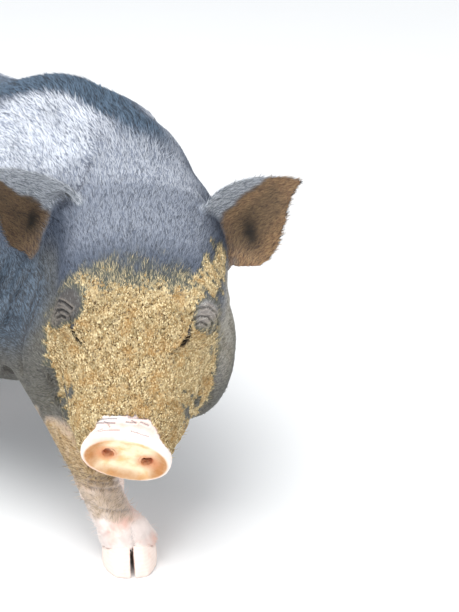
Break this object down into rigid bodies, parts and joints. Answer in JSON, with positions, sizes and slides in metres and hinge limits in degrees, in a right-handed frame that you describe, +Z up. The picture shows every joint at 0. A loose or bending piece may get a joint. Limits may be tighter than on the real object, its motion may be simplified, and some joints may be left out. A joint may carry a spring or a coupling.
{
  "type": "pot-bellied pig model",
  "caption": "Life-size still model of a pot-bellied pig standing with its head lowered and turned to its right, with a swayed back, round belly and straight tail.",
  "frame": {"origin": "middle of the model's box in X and Y, on the floor that the hooves stand on", "axes": "-Y the way the pig's body faces, +X to the pig's left, +Z up"},
  "size_m": [0.3806, 0.9772, 0.4419],
  "materials": {
    "dark_skin": "matt blue-grey skin under short bristles",
    "pale_skin": "matt cream and pink skin under short tan hair",
    "ear_skin": "matt brown skin inside the cup, blue-grey behind",
    "snout_disc": "moist pink to orange bare skin",
    "hoof": "pale horn, dull",
    "eye": "wet dark brown"
  },
  "bodies": {
    "root": {"ear_left": "ear_skin", "ear_right": "ear_skin", "eye_left": "eye", "eye_right": "eye", "foreleg_left": "dark_skin", "foreleg_left_dewclaw_left": "hoof", "foreleg_left_dewclaw_right": "hoof", "foreleg_left_hoof_left": "hoof", "foreleg_left_hoof_right": "hoof", "foreleg_right": "pale_skin", "foreleg_right_dewclaw_left": "hoof", "foreleg_right_dewclaw_right": "hoof", "foreleg_right_hoof_left": "hoof", "foreleg_right_hoof_right": "hoof", "head": "dark_skin", "hind_leg_left": "dark_skin", "hind_leg_left_dewclaw_left": "hoof", "hind_leg_left_dewclaw_right": "hoof", "hind_leg_left_hoof_left": "hoof", "hind_leg_left_hoof_right": "hoof", "hind_leg_right": "dark_skin", "hind_leg_right_dewclaw_left": "hoof", "hind_leg_right_dewclaw_right": "hoof", "hind_leg_right_hoof_left": "hoof", "hind_leg_right_hoof_right": "hoof", "neck": "dark_skin", "snout": "snout_disc", "tail": "dark_skin", "torso": "dark_skin"}
  },
  "joints": []
}
